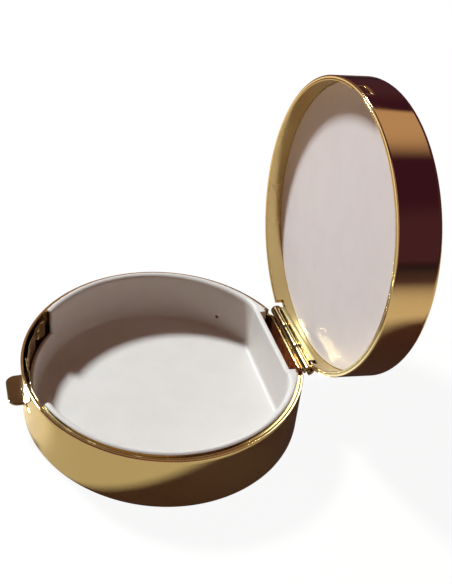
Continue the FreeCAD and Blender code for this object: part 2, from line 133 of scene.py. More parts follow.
def add_mesh(name, points, faces, smooth_below=40.0):
    """A closed mesh from millimetre points, with doubles merged and normals outwards."""
    mesh = bpy.data.meshes.new(name)
    mesh.from_pydata([tuple(p) for p in np.asarray(points, float) * MM], [], faces)
    work = bmesh.new()
    work.from_mesh(mesh)
    bmesh.ops.remove_doubles(work, verts=work.verts, dist=MERGE_METRES)
    bmesh.ops.dissolve_degenerate(work, edges=work.edges, dist=FLAT_METRES)
    loose = [v for v in work.verts if not v.link_faces]
    bmesh.ops.delete(work, geom=loose, context="VERTS")
    wires = [e for e in work.edges if not e.link_faces]
    bmesh.ops.delete(work, geom=wires, context="EDGES")
    bmesh.ops.recalc_face_normals(work, faces=work.faces)
    work.to_mesh(mesh)
    work.free()
    mesh.shade_smooth()
    mesh.set_sharp_from_angle(angle=math.radians(smooth_below))
    return linked(name, mesh)


def turned(angle, radius, height):
    """Points on a circle about the vertical axis, angle in degrees from -Y towards +X."""
    a = np.radians(angle)
    return np.stack([radius * np.sin(a), -radius * np.cos(a), height + 0 * a], axis=-1)


def graded(stops, step, edge):
    """Positions from the first stop to the last, close together at every stop."""
    rounding = edge * (1 - np.cos(np.radians([30, 60, 90])))
    places = set()
    for a, b in zip(stops[:-1], stops[1:]):
        count = max(1, int(round((b - a) / step)))
        places.update(np.linspace(a, b, count + 1).tolist())
        if b - a > 3 * edge:
            places.update((a + rounding).tolist())
            places.update((b - rounding).tolist())
    places = sorted(places)
    kept = [places[0]]
    for place in places[1:]:
        if place - kept[-1] > 0.1 * edge or any(abs(place - s) < EPSILON for s in stops):
            if place - kept[-1] < 0.1 * edge:
                kept.pop()
            kept.append(place)
    return np.array(kept)


def sheet(name, us, vs, place, half, holes=(), edge=0.1, around=0.0, pole=False, back_edge=None):
    """A sheet of metal over a grid of positions, with holes and rounded edges.

    place(u, v, w) gives the point at offset w from the middle of the sheet. around is the
    length round a ring, or 0. pole says that the first row is one point and no edge. The
    back of the sheet takes back_edge as its rounding where one is given.
    """
    u, v = np.meshgrid(us, vs, indexing="ij")
    away = np.full(u.shape, 1e9)
    if not around:
        away = np.minimum(away, np.minimum(u - us[0], us[-1] - u))
    if not pole:
        away = np.minimum(away, v - vs[0])
    away = np.minimum(away, vs[-1] - v)
    for u0, u1, v0, v1 in holes:
        du = np.maximum(np.maximum(u0 - u, u - u1), 0)
        dv = np.maximum(np.maximum(v0 - v, v - v1), 0)
        away = np.minimum(away, np.hypot(du, dv))

    def offset(rounding):
        near = rounding - np.clip(away, 0, rounding)
        return half - rounding + np.sqrt(np.maximum(rounding * rounding - near * near, 0))

    front = place(u, v, offset(edge))
    back = place(u, v, -offset(back_edge or edge))
    count_u, count_v = u.shape
    total = count_u * count_v

    columns = count_u if around else count_u - 1
    kept = np.ones((columns, count_v - 1), bool)
    for i in range(columns):
        u_next = us[i + 1] if i + 1 < count_u else us[0] + around
        u_mid = (us[i] + u_next) / 2
        for u0, u1, v0, v1 in holes:
            if u0 < u_mid < u1:
                v_mid = (vs[:-1] + vs[1:]) / 2
                kept[i] &= ~((v_mid > v0) & (v_mid < v1))

    def at(i, j):
        return (i % count_u) * count_v + j

    def is_kept(i, j):
        if around:
            i = i % columns
        return 0 <= i < columns and 0 <= j < count_v - 1 and kept[i, j]

    faces = []
    for i in range(columns):
        for j in range(count_v - 1):
            if not kept[i, j]:
                continue
            a, b, c, d = at(i, j), at(i + 1, j), at(i + 1, j + 1), at(i, j + 1)
            faces.append((a, b, c, d))
            faces.append((total + d, total + c, total + b, total + a))
            sides = (((a, b), (i, j - 1)), ((b, c), (i + 1, j)),
                     ((c, d), (i, j + 1)), ((d, a), (i - 1, j)))
            for (p, q), neighbour in sides:
                if pole and j == 0 and neighbour == (i, j - 1):
                    continue
                if not is_kept(*neighbour):
                    faces.append((p, total + p, total + q, q))
    points = np.concatenate([front.reshape(-1, 3), back.reshape(-1, 3)])
    return add_mesh(name, points, faces)


def rounded(corners, radii, steps=5):
    """An outline with every corner replaced by an arc of its own radius."""
    outline = []
    total = len(corners)
    for k in range(total):
        before, here, after = (Vector(corners[(k + n) % total]) for n in (-1, 0, 1))
        radius = radii[k] if isinstance(radii, (list, tuple)) else radii
        to_before = (before - here).normalized()
        to_after = (after - here).normalized()
        turn = math.pi - to_before.angle(to_after)
        if radius < EPSILON or turn < 0.01:
            outline.append(here)
            continue
        reach = radius * math.tan(turn / 2)
        centre = here + (to_before + to_after).normalized() * (radius / math.cos(turn / 2))
        start = here + to_before * reach - centre
        stop = here + to_after * reach - centre
        for n in range(steps + 1):
            outline.append(centre + start.lerp(stop, n / steps).normalized() * radius)
    return outline


def lathe(name, outline, start=0.0, stop=360.0, segments=288):
    """A closed outline of (radius, height) turned about the vertical axis, whole or in part."""
    whole = stop - start > 359.9
    count = segments if whole else max(4, int(segments * (stop - start) / 360))
    angles = start + (stop - start) * np.arange(count + (0 if whole else 1)) / count
    rings = np.array([[turned(a, p[0], p[1]) for p in outline] for a in angles])
    width = len(outline)
    faces = []
    for i in range(count):
        j = (i + 1) % len(angles)
        for k in range(width):
            m = (k + 1) % width
            faces.append((i * width + k, j * width + k, j * width + m, i * width + m))
    if not whole:
        faces.append(tuple(range(width)))
        faces.append(tuple(reversed(range(count * width, (count + 1) * width))))
    return add_mesh(name, rings.reshape(-1, 3), faces)


def slab(name, outline, low, high, edge):
    """A flat plate with an upright outline and rounded edges."""
    corners = np.array([tuple(p) for p in outline], float)
    ahead = np.roll(corners, -1, axis=0) - np.roll(corners, 1, axis=0)
    inward = np.stack([-ahead[:, 1], ahead[:, 0]], axis=1)
    inward /= np.linalg.norm(inward, axis=1)[:, None]
    if np.sum(inward * (corners.mean(0) - corners)) < 0:
        inward = -inward
    rings = []
    for sign, base in ((-1, low), (1, high)):
        turns = np.radians(np.linspace(0, 90, 5))
        for turn in turns[::sign]:
            inset = edge * (1 - math.cos(turn))
            height = base - sign * edge * (1 - math.sin(turn))
            flat = corners + inward * inset
            rings.append(np.column_stack([flat, np.full(len(flat), height)]))
    width = len(corners)
    faces = [tuple(range(width)), tuple(reversed(range((len(rings) - 1) * width, len(rings) * width)))]
    for r in range(len(rings) - 1):
        for k in range(width):
            m = (k + 1) % width
            faces.append((r * width + k, r * width + m, (r + 1) * width + m, (r + 1) * width + k))
    return add_mesh(name, np.concatenate(rings), faces)


def move(piece, matrix):
    """Move a piece's own points by a millimetre matrix."""
    scale = Matrix.Scale(MM, 4)
    piece.data.transform(scale @ matrix @ scale.inverted())
    piece.data.update()
    return piece


JOINED_SMOOTH_BELOW = 35.0


def joined(name, pieces):
    """One solid from pieces that run into each other, united at millimetre size."""
    grow = Matrix.Scale(1 / MM, 4)
    for piece in pieces:
        piece.data.transform(grow)
    first = pieces[0]
    for other in pieces[1:]:
        union = first.modifiers.new("union", "BOOLEAN")
        union.operation = "UNION"
        union.solver = "EXACT"
        union.object = other
    bpy.context.view_layer.update()
    evaluated = first.evaluated_get(bpy.context.evaluated_depsgraph_get())
    mesh = bpy.data.meshes.new_from_object(evaluated)
    mesh.name = name
    mesh.transform(grow.inverted())
    for piece in pieces:
        bpy.data.objects.remove(piece)
    mesh.shade_smooth()
    mesh.set_sharp_from_angle(angle=math.radians(JOINED_SMOOTH_BELOW))
    return linked(name, mesh)


# ---------- material tools

class Nodes:
    """Short hand for building the node tree of a material or a world."""

    def __init__(self, owner):
        owner.use_nodes = True
        self.tree = owner.node_tree
        self.tree.nodes.clear()

    def put(self, socket, value):
        if isinstance(value, bpy.types.NodeSocket):
            self.tree.links.new(value, socket)
        elif isinstance(value, tuple) and len(value) == 3 and socket.type == "RGBA":
            socket.default_value = (*value, 1)
        else:
            socket.default_value = value

    def add(self, kind, *parts, **values):
        """A node. Parts fill its inputs in order, values its settings or its named inputs."""
        node = self.tree.nodes.new(kind)
        for key, value in values.items():
            if hasattr(node, key):
                setattr(node, key, value)
            else:
                self.put(node.inputs[key.replace("_", " ")], value)
        for socket, part in zip(node.inputs, parts):
            self.put(socket, part)
        return node

    def math(self, operation, a, b):
        return self.add("ShaderNodeMath", a, b, operation=operation).outputs[0]

    def plus(self, a, b, share):
        """a plus a share of b."""
        return self.math("ADD", a, self.math("MULTIPLY", b, share))

    def vector_math(self, operation, a, b=(0.0, 0.0, 0.0)):
        """A vector for MULTIPLY, and a number for DOT_PRODUCT, LENGTH and DISTANCE."""
        node = self.add("ShaderNodeVectorMath", a, b, operation=operation)
        return node.outputs["Vector" if operation == "MULTIPLY" else "Value"]

    def mix(self, share, a, b):
        node = self.add("ShaderNodeMix", share, data_type="RGBA")
        self.put(node.inputs[6], a)
        self.put(node.inputs[7], b)
        return node.outputs[2]

    def ramp(self, value, low, high, to_low=0.0, to_high=1.0):
        """A smooth step from to_low at low to to_high at high."""
        node = self.add("ShaderNodeMapRange", value, low, high, to_low, to_high,
                        interpolation_type="SMOOTHSTEP")
        return node.outputs[0]

    def noise(self, place, scale, detail=3.0, roughness=0.55, distortion=0.0):
        node = self.add("ShaderNodeTexNoise", Vector=place, Scale=scale, Detail=detail,
                        Roughness=roughness, Distortion=distortion)
        return node.outputs["Fac"]

    def surface(self, height, **values):
        """The principled shader, with its bump height in millimetres, as the tree's output."""
        bump = self.add("ShaderNodeBump", Height=height, Distance=MM)
        shader = self.add("ShaderNodeBsdfPrincipled", Normal=bump.outputs[0], **values)
        self.add("ShaderNodeOutputMaterial", shader.outputs[0])

    def by_ray(self, kind, others, these):
        """One shader for these rays, and one for all others."""
        rays = self.add("ShaderNodeLightPath")
        return self.add("ShaderNodeMixShader", rays.outputs[kind], others, these).outputs[0]


def new_material(name):
    """A material, its nodes and the place in object millimetres."""
    material = bpy.data.materials.new(name)
    nodes = Nodes(material)
    metres = nodes.add("ShaderNodeTexCoord").outputs["Object"]
    return material, nodes, nodes.vector_math("MULTIPLY", metres, (1 / MM, 1 / MM, 1 / MM))


MARK_STRETCH = (0.35, 0.35, 9.0)
MARK_HEIGHT = 0.0006
HOLLOW_REACH = 0.9


def gilt(name, color, tarnish, roughness, wave, tarnish_share, dents=0.0, stain_and_shade=None):
    """Gold plate on polished brass: slight waves, polishing marks, smudges, tarnish and any painted shade
    passed in.

    wave and dents are heights in millimetres. The darkening function gives how far the metal is darkened:
    red-brown staining on the case leaf, painted shade in the catch bay.
    """
    material, nodes, place = new_material(name)
    along_wall = nodes.vector_math("MULTIPLY", place, MARK_STRETCH)
    marks = nodes.noise(along_wall, 2.6, detail=5.0, roughness=0.7)
    smudge = nodes.noise(place, 0.16, detail=4.0, roughness=0.6, distortion=0.6)
    grain = nodes.noise(place, 9.0, detail=2.0)
    rough = nodes.plus(roughness, nodes.ramp(smudge, 0.45, 0.72), roughness * 0.9)
    rough = nodes.plus(rough, nodes.ramp(marks, 0.55, 0.8), 0.05)
    crevice = nodes.add("ShaderNodeAmbientOcclusion", samples=4, Distance=HOLLOW_REACH * MM)
    hollow = nodes.ramp(crevice.outputs["AO"], 0.75, 0.2)
    spots = nodes.ramp(nodes.noise(place, 0.55, detail=5.0, roughness=0.65), 0.6, 0.78)
    tarnish_and_shade = nodes.math("MAXIMUM", nodes.math("MULTIPLY", hollow, tarnish_share),
                      nodes.math("MULTIPLY", spots, tarnish_share * 0.25))
    # darkening passed in: red-brown staining on the case leaf, painted shade in the catch bay
    if stain_and_shade:
        above = nodes.add("ShaderNodeSeparateXYZ", place).outputs["Z"]
        tarnish_and_shade = nodes.math("MAXIMUM", tarnish_and_shade, stain_and_shade(nodes, place, above))
    tone = nodes.mix(nodes.ramp(grain, 0.35, 0.7, 0.0, 0.12), color, tarnish)
    waves = nodes.noise(place, 0.11, detail=1.0)
    height = nodes.plus(nodes.math("MULTIPLY", waves, wave), marks, MARK_HEIGHT)
    if dents:
        height = nodes.plus(height, nodes.noise(place, 0.9, detail=2.0, roughness=0.5), dents)
    nodes.surface(height, Base_Color=nodes.mix(tarnish_and_shade, tone, tarnish), Metallic=1.0,
                  Roughness=nodes.plus(rough, tarnish_and_shade, 0.12))
    return material


FLECK_BROWN = (0.32, 0.25, 0.20)
SPECK_BROWN = (0.06, 0.035, 0.03)


def moulded_white(name, color, shade, roughness, grain_height, speck=None):
    """Moulded white plastic: faint mottle, fine texture, a little light through the edges.

    speck is the place of one small dark speck, in millimetres.
    """
    material, nodes, place = new_material(name)
    mottle = nodes.noise(place, 0.18, detail=4.0, roughness=0.6)
    fine = nodes.noise(place, 7.0)
    flecks = nodes.ramp(nodes.noise(place, 1.3, detail=2.0), 0.785, 0.8)
    tone = nodes.mix(nodes.ramp(mottle, 0.35, 0.75, 0.0, 0.55), color, shade)
    tone = nodes.mix(nodes.math("MULTIPLY", flecks, 0.35), tone, FLECK_BROWN)
    if speck:
        away = nodes.vector_math("DISTANCE", place, speck)
        tone = nodes.mix(nodes.ramp(away, 0.62, 0.25), tone, SPECK_BROWN)
    nodes.surface(
        nodes.math("MULTIPLY", fine, grain_height), Base_Color=tone,
        Roughness=nodes.ramp(fine, 0.3, 0.7, roughness - 0.06, roughness + 0.08),
        IOR=1.46, Specular_IOR_Level=0.35, Subsurface_Weight=0.12,
        Subsurface_Radius=(0.9, 0.7, 0.6), Subsurface_Scale=0.6 * MM)
    return material


def pressed_board(name):
    """Grey pressed card behind the lid disc."""
    material, nodes, place = new_material(name)
    stretched = nodes.vector_math("MULTIPLY", place, (4.0, 0.8, 4.0))
    fibres = nodes.noise(stretched, 1.5, detail=6.0, roughness=0.7)
    tone = nodes.mix(nodes.ramp(fibres, 0.3, 0.7), (0.42, 0.38, 0.32), (0.60, 0.56, 0.50))
    nodes.surface(nodes.math("MULTIPLY", fibres, 0.03), Base_Color=tone, Roughness=0.9)
    return material


def bay_painted_shade(nodes, place, height):
    """Painted shade: the case wall's inner face, seen in the shaded catch bay, is darkened and roughened.
    """
    radius = nodes.vector_math("LENGTH", nodes.vector_math("MULTIPLY", place, (1.0, 1.0, 0.0)))
    inner_face = nodes.ramp(radius, 29.55, 29.45, 0.0, 0.8)
    return nodes.math("MULTIPLY", inner_face, nodes.ramp(height, 0.7, 1.2))


def leaf_stain(nodes, place, height):
    """The flat of the case leaf has gone red-brown below its knuckles."""
    return nodes.ramp(height, 12.5, 12.1, 0.0, 0.85)


POLISHED = gilt("polished_gilt", (1.0, 0.79, 0.40), (0.40, 0.24, 0.10), 0.055, 0.010, 0.55)
# the case gilt carries painted shade on the wall's inner face in the catch bay
CASE_GILT = gilt("case_gilt", (1.0, 0.79, 0.40), (0.34, 0.22, 0.11), 0.055, 0.010, 0.3, stain_and_shade=bay_painted_shade)
INNER = gilt("inner_gilt", (0.75, 0.59, 0.26), (0.34, 0.21, 0.10), 0.17, 0.006, 0.3)
HINGE_GILT = gilt("hinge_gilt", (0.40, 0.30, 0.13), (0.20, 0.11, 0.05), 0.12, 0.004, 0.9, 0.016)
LEAF_GILT = gilt("leaf_gilt", (0.42, 0.29, 0.13), (0.86, 0.36, 0.19), 0.13, 0.004, 0.4, 0.010, leaf_stain)
SPRING_GILT = gilt("spring_gilt", (0.46, 0.34, 0.16), (0.20, 0.13, 0.06), 0.13, 0.004, 0.6, 0.008)
TAB_GILT = gilt("tab_gilt", (0.42, 0.33, 0.18), (0.22, 0.14, 0.07), 0.09, 0.004, 0.4)
SPECK = (-20.3, 18.4, 4.6)
LINER_WHITE = moulded_white("liner_white", (0.63, 0.56, 0.507), (0.585, 0.515, 0.46), 0.42, 0.010, SPECK)
DISC_WHITE = moulded_white("disc_white", (0.735, 0.635, 0.61), (0.69, 0.59, 0.56), 0.38, 0.006)
BOARD = pressed_board("backing_board")


def finish(piece, body, material, node):
    """Give a piece its material, the body it rides on and the CAD node it stands for."""
    piece.data.materials.clear()
    piece.data.materials.append(material)
    if body == LID_BODY:
        move(piece, SWING_OPEN)
    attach(piece, body)
    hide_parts(node)


# ---------- shells of case and lid

def cup(name, flat_z, rim_z, outer_round, holes, dents=None):
    """A drawn sheet cup: flat round end, rounded corner, straight wall and rim.

    Holes are (from, to, low, high) in wall millimetres and height; the wall millimetres run
    round the middle of the sheet. dents(u, z) gives how far the wall is pressed inwards.
    """
    half = SHEET / 2
    wall = CASE.outer - half
    upwards = 1 if rim_z > flat_z else -1
    corner = outer_round - half
    end_z = flat_z + upwards * half
    flat = wall - corner
    bend = corner * math.pi / 2
    straight = flat + bend
    length = straight + abs(rim_z - end_z) - corner

    def to_v(z):
        return straight + abs(z - end_z) - corner

    around = 2 * math.pi * wall
    start = math.radians(SEAM) * wall
    u_stops = [start] + sorted({h[k] for h in holes for k in (0, 1)}) + [start + around]
    v_stops = [straight] + sorted({to_v(h[k]) for h in holes for k in (2, 3)} - {length}) + [length]
    v_stops = [v for v in v_stops if v <= length + EPSILON]
    us = graded(u_stops, around / RING_STEPS, SHEET_EDGE)[:-1]
    vs = np.concatenate([
        flat * np.array([0, 0.02, 0.2, 0.4, 0.6, 0.8, 0.93, 0.985]),
        flat + bend * np.linspace(0, 1, 9)[:-1],
        graded(v_stops, 0.9, SHEET_EDGE)])

    def place(u, v, w):
        on_flat = np.clip(v, 0, flat)
        turn = np.clip((v - flat) / corner, 0, math.pi / 2)
        rise = np.clip(v - straight, 0, None)
        radius = on_flat + (corner + w) * np.sin(turn)
        height = end_z + upwards * (corner - (corner + w) * np.cos(turn) + rise)
        if dents is not None:
            radius = radius - dents(u, end_z + upwards * (corner + rise)) * (rise > 0)
        return turned(np.degrees(u / wall), radius, height)

    windows = []
    for u_from, u_to, z_from, z_to in holes:
        low, high = sorted((to_v(z_from), to_v(z_to)))
        beyond_rim = 1.0 if abs(high - length) < EPSILON else 0.0
        windows.append((u_from, u_to, low, high + beyond_rim))
    return sheet(name, us, vs, place, half, windows, SHEET_EDGE, around, True, SHEET_INNER_EDGE)


WALL_MIDDLE = CASE.outer - SHEET / 2
NOTCH_TURN = math.asin(NOTCH_HALF / WALL_MIDDLE)
HINGE_FROM = WALL_MIDDLE * (math.pi - NOTCH_TURN)
HINGE_TO = WALL_MIDDLE * (math.pi + NOTCH_TURN)

TAB_SLOT = (-3.4, 8.4, 7.3, 8.3)
CASE_NOTCH_FLOOR = 11.85
CASE_ROUND = 1.2
LID_NOTCH_ROOF = 14.55
LID_ROUND = 0.97

LANCE_FROM = 0.35
LANCE_TO = 3.95
LANCE_LOW = LID.bottom + 0.45
LANCE_HIGH = LID.bottom + 1.62
LANCE_CUT = 0.13
LANCE_DEPTH = 0.05


def pressed_tongue(u, z):
    """The lanced tongue in the lid wall leans inwards towards its free edge."""
    inside = (u > LANCE_FROM + LANCE_CUT / 2) & (u < LANCE_TO - LANCE_CUT / 2)
    share = (z - LANCE_LOW) / (LANCE_HIGH - LANCE_LOW)
    return np.where(inside & (share > 0) & (share < 1), LANCE_DEPTH * share, 0.0)


def make_case_shell():
    notch = (HINGE_FROM, HINGE_TO, CASE_NOTCH_FLOOR, CASE.top)
    shell = cup("case_shell", CASE.bottom, CASE.top, CASE_ROUND, [TAB_SLOT, notch])
    finish(shell, "case", CASE_GILT, "base_case")


def make_lid_shell():
    notch = (HINGE_FROM, HINGE_TO, LID.bottom, LID_NOTCH_ROOF)
    cuts = [
        (LANCE_FROM, LANCE_TO, LANCE_HIGH, LANCE_HIGH + LANCE_CUT),
        (LANCE_FROM, LANCE_FROM + LANCE_CUT, LANCE_LOW, LANCE_HIGH),
        (LANCE_TO - LANCE_CUT, LANCE_TO, LANCE_LOW, LANCE_HIGH)]
    shell = cup("lid_shell", LID.top, LID.bottom, LID_ROUND, [notch] + cuts, pressed_tongue)
    finish(shell, "lid", POLISHED, "lid_case")


# ---------- bands

COLLAR_SKIRT = 28.95
COLLAR_NECK = 28.85
COLLAR_SHELF = 12.4
COLLAR_HINGE_ANGLE = 22.6


def make_case_collar():
    """Stepped band pressed into the case, in two arcs between catch and hinge."""
    outline = rounded([
        (COLLAR.outer, COLLAR.bottom), (COLLAR.outer, CASE.top), (COLLAR_NECK, CASE.top),
        (COLLAR_NECK, COLLAR.top), (COLLAR.inner, COLLAR.top), (COLLAR.inner, COLLAR_SHELF),
        (COLLAR_SKIRT, COLLAR_SHELF), (COLLAR_SKIRT, COLLAR.bottom)],
        [0.1, 0.02, 0.02, 0.03, 0.05, 0.05, 0.2, 0.1])
    right = lathe("collar_right", outline, CATCH_TO, 180 - COLLAR_HINGE_ANGLE)
    left = lathe("collar_left", outline, 180 + COLLAR_HINGE_ANGLE, 360 + CATCH_FROM)
    collar = joined("case_collar", [right, left])
    finish(collar, "case", INNER, "base_collar")


BAND_MIDDLE = (BAND.inner + BAND.outer) / 2
LEAF_GAP_HALF = 9.7
BAND_EDGE = 0.06
LEAF_GAP_ROOF = LID_LEAF.top
HOOK_GAP = (-0.6, 4.2)
HOOK_GAP_ROOF = 15.4


def make_lid_band():
    """Second skin of the lid rim, gapped for the hook and for the hinge leaf."""
    around = 2 * math.pi * BAND_MIDDLE
    start = math.radians(SEAM) * BAND_MIDDLE
    half_turn = math.pi * BAND_MIDDLE
    notch = BAND_MIDDLE * math.asin(NOTCH_HALF / BAND_MIDDLE)
    leaf = BAND_MIDDLE * math.asin(LEAF_GAP_HALF / BAND_MIDDLE)
    below = BAND.bottom - 1
    holes = [
        (half_turn - notch, half_turn + notch, below, LID_NOTCH_ROOF),
        (half_turn - leaf, half_turn + leaf, below, LEAF_GAP_ROOF),
        (*HOOK_GAP, below, HOOK_GAP_ROOF)]
    stops = [start] + sorted({h[k] for h in holes for k in (0, 1)}) + [start + around]
    us = graded(stops, around / RING_STEPS, BAND_EDGE)[:-1]
    heights = sorted([BAND.bottom, LID_NOTCH_ROOF, HOOK_GAP_ROOF, LEAF_GAP_ROOF, BAND.top])
    vs = graded(heights, 0.7, BAND_EDGE)

    def place(u, v, w):
        return turned(np.degrees(u / BAND_MIDDLE), BAND_MIDDLE + w, v)

    band = sheet("lid_band", us, vs, place, (BAND.outer - BAND.inner) / 2, holes, BAND_EDGE, around)
    finish(band, "lid", INNER, "lid_inner_band")


# ---------- liner and lid disc

LINER_INNER = 27.4
LINER_FLOOR = 1.5
LINER_FLAT = 24.0
LINER_CORNER = 8.0
TROUGH_FRONT = 25.2
TROUGH_HALF = 9.8
TROUGH_FLOOR = 5.4
LINER_LOW = 7.2
LIP = 0.32
LIP_INNER = 0.48
LIP_SOFT = 1.0
LIP_RISE = 0.03
LIP_UNDER = COLLAR.top + 0.01
LIP_REACH = 0.46
LIP_SLOPE = 0.4
END_ROUND = 0.42
FLOOR_FILLET = 0.9
FOOT_HEIGHT = 0.25
COLUMN_STEP = 1.5
COLUMN_GAP = 0.05


class Column:
    """One upright cut through the liner wall, end being its distance from a rounded end."""

    def __init__(self, inner, outer, inward, low=False, trough=False, end=END_ROUND):
        self.inner, self.outer, self.inward = np.array(inner), np.array(outer), np.array(inward)
        self.low, self.trough, self.end = low, trough, end
        self.from_hinge = math.degrees(math.atan2(abs(self.outer[0]), self.outer[1]))


def fallen(radius, inset):
    """How far a rounding of this radius has fallen back at an inset from its start."""
    left = radius - min(inset, radius)
    return radius - math.sqrt(radius ** 2 - left ** 2)


def liner_columns():
    """Columns once round the liner, from the -X side through the catch and the hinge."""
    columns = []
    corner_reach = LINER_INNER - LINER_CORNER
    corner_y = LINER_FLAT - LINER_CORNER
    corner_x = math.sqrt(corner_reach ** 2 - corner_y ** 2)
    corner_turn = math.atan2(corner_x, corner_y)
    outer_at_flat = math.atan2(corner_x, math.sqrt(LINER.outer ** 2 - corner_x ** 2))
    ring_end = math.degrees(corner_turn)
    step_gap = COLUMN_GAP / math.radians(1) / LINER_INNER
    rounding = END_ROUND * (1 - np.cos(np.radians([0, 22, 45, 67, 90])))
    away = rounding / math.radians(1) / LINER_INNER
    ends = list(zip(away, rounding))

    def ring_column(angle, low=False, end=END_ROUND):
        out = turned(angle, 1.0, 0.0)[:2]
        columns.append(Column(LINER_INNER * out, LINER.outer * out, -out, low, end=end))

    def corner_column(side, share):
        turn = corner_turn * (1 - share)
        out = np.array([side * math.sin(turn), math.cos(turn)])
        centre = np.array([side * corner_x, corner_y])
        outer_turn = turn + outer_at_flat * share
        outer = LINER.outer * np.array([side * math.sin(outer_turn), math.cos(outer_turn)])
        columns.append(Column(centre + LINER_CORNER * out, outer, -out))

    def flat_column(x):
        outer = (x, math.sqrt(LINER.outer ** 2 - x ** 2))
        columns.append(Column((x, LINER_FLAT), outer, (0.0, -1.0), trough=abs(x) < TROUGH_HALF))

    for angle in np.arange(SEAM, CATCH_FROM - away[-1], COLUMN_STEP):
        ring_column(angle)
    for reach, inset in reversed(ends):
        ring_column(CATCH_FROM - reach, end=inset)
    for angle in np.linspace(CATCH_FROM + step_gap, CATCH_TO - step_gap, 42):
        ring_column(angle, low=True)
    for reach, inset in ends:
        ring_column(CATCH_TO + reach, end=inset)
    for angle in np.arange(CATCH_TO + away[-1] + COLUMN_STEP, 180 - ring_end - 0.7, COLUMN_STEP):
        ring_column(angle)
    for share in np.linspace(0, 1, 15):
        corner_column(1, share)
    beside = [10.6, 10.2, TROUGH_HALF + COLUMN_GAP]
    trough = np.linspace(TROUGH_HALF - COLUMN_GAP, COLUMN_GAP - TROUGH_HALF, 22)
    for x in [*beside, *trough, *(-x for x in reversed(beside))]:
        flat_column(x)
    for share in np.linspace(1, 0, 15):
        corner_column(-1, share)
    for angle in np.arange(180 + ring_end + COLUMN_STEP, SEAM + 360 - 0.5, COLUMN_STEP):
        ring_column(angle)
    return columns


def column_points(column):
    """The closed run of points up the outside, over the lip and down to the floor's middle."""
    inner, outer = column.inner, column.outer
    across = inner - outer
    thick = np.linalg.norm(across)
    across = across / thick
    turns = np.radians([22, 45, 67, 90])
    run = []

    def put(plan, height):
        run.append((plan[0], plan[1], height))

    def from_outside(distance, height):
        put(outer + across * distance, height)

    # the bottom and the outside
    for share in (0.0, 0.5, 0.985):
        put(outer * share, LINER.bottom)
    foot_top = LINER.bottom + FOOT_HEIGHT
    from_outside(0.0, foot_top)
    shoulder = TROUGH_FLOOR if column.trough else LINER_LOW
    low_lip = LIP if column.low else 0.0
    for share in (0.3, 0.6, 0.85, 1.0):
        from_outside(0.0, foot_top + share * (shoulder - low_lip - foot_top))

    # the ledge: the trough's floor, the low lip's outer rounding or the rounded end
    shrink = fallen(END_ROUND, column.end)
    if column.trough:
        back = outer[1] - TROUGH_FRONT
        for share in (0.4, 0.8, 0.95, 1.0):
            from_outside(back * share, shoulder)
    elif column.low:
        back = thick / 2 - COLUMN_GAP
        for turn in turns:
            from_outside(LIP * (1 - math.cos(turn)), shoulder - LIP * (1 - math.sin(turn)))
    else:
        back = shrink
        for share in (0.25, 0.5, 0.75, 1.0):
            from_outside(back * share, shoulder)
    front = thick - (back if column.low else shrink)

    # up the outside, over the lip and down the inside
    top = shoulder
    outer_lip = inner_lip = 0.0
    if not column.low:
        top = LINER.top - fallen(LIP, column.end)
        outer_lip = min(LIP, (front - back) * 0.45)
        inner_lip = min(LIP_INNER, (front - back) * 0.5)
    under, outer_drop = top - outer_lip, outer_lip
    reach = 0.0
    if not column.low and column.from_hinge > COLLAR_HINGE_ANGLE:
        grown = 1 - shrink / END_ROUND
        reach = LIP_REACH * grown
        top += LIP_RISE * grown
        under = min(LIP_UNDER, top - 0.02)
        outer_lip += (LIP_SLOPE - outer_lip) * grown
        inner_lip += (LIP_SOFT - inner_lip) * grown
        outer_drop = (top - under) * 0.7
    for share in (0.0, 0.3, 0.7, 1.0):
        from_outside(back, shoulder + share * (under - shoulder))
    from_outside(back - reach * 0.97, under)
    from_outside(back - reach, under + 0.03 * (top - outer_drop - under))
    for turn in [0.0] + list(turns):
        along, fall = 1 - math.cos(turn), 1 - math.sin(turn)
        if reach:
            along = turn / (math.pi / 2)
            fall = (1 - along) ** 1.5
        from_outside(back - reach + outer_lip * along, top - outer_drop * fall)
    for turn in list(reversed(turns)) + [0.0]:
        from_outside(front - inner_lip * (1 - math.cos(turn)), top - inner_lip * (1 - math.sin(turn)))
    from_top = top if column.low else LINER_LOW
    for share in (1.0, 0.7, 0.3, 0.0):
        from_outside(front, from_top + share * (top - inner_lip - from_top))

    # the low wall's inner rounding, the inside and the floor
    if column.low:
        for turn in reversed(turns):
            from_outside(thick - LIP * (1 - math.cos(turn)), shoulder - LIP * (1 - math.sin(turn)))
    else:
        for share in (1.0, 0.75, 0.5, 0.25):
            from_outside(thick - shrink * share, LINER_LOW)
    fillet_top = LINER_FLOOR + FLOOR_FILLET
    for share in (1.0, 0.8, 0.5, 0.2):
        put(inner, fillet_top + share * (LINER_LOW - low_lip - fillet_top))
    for turn in np.radians([0, 18, 36, 54, 72, 90]):
        plan = inner + column.inward * FLOOR_FILLET * (1 - math.cos(turn))
        put(plan, LINER_FLOOR + FLOOR_FILLET * (1 - math.sin(turn)))
    foot = inner + column.inward * FLOOR_FILLET
    for share in (0.96, 0.85, 0.6, 0.3, 0.0):
        put(foot * share, LINER_FLOOR)
    return run


def make_liner():
    """Moulded tray: rounded lip, low wall at the catch, flat wall and trough at the hinge."""
    runs = [column_points(column) for column in liner_columns()]
    width = len(runs[0])
    count = len(runs)
    faces = []
    for i in range(count):
        j = (i + 1) % count
        for k in range(width - 1):
            faces.append((i * width + k, j * width + k, j * width + k + 1, i * width + k + 1))
    liner = add_mesh("liner", np.array(runs).reshape(-1, 3), faces, 38.0)
    finish(liner, "case", LINER_WHITE, "liner_tray")


DISC_EDGE = 0.12
DISC_DISH = 0.2
DISH_WIDTH = 8.5


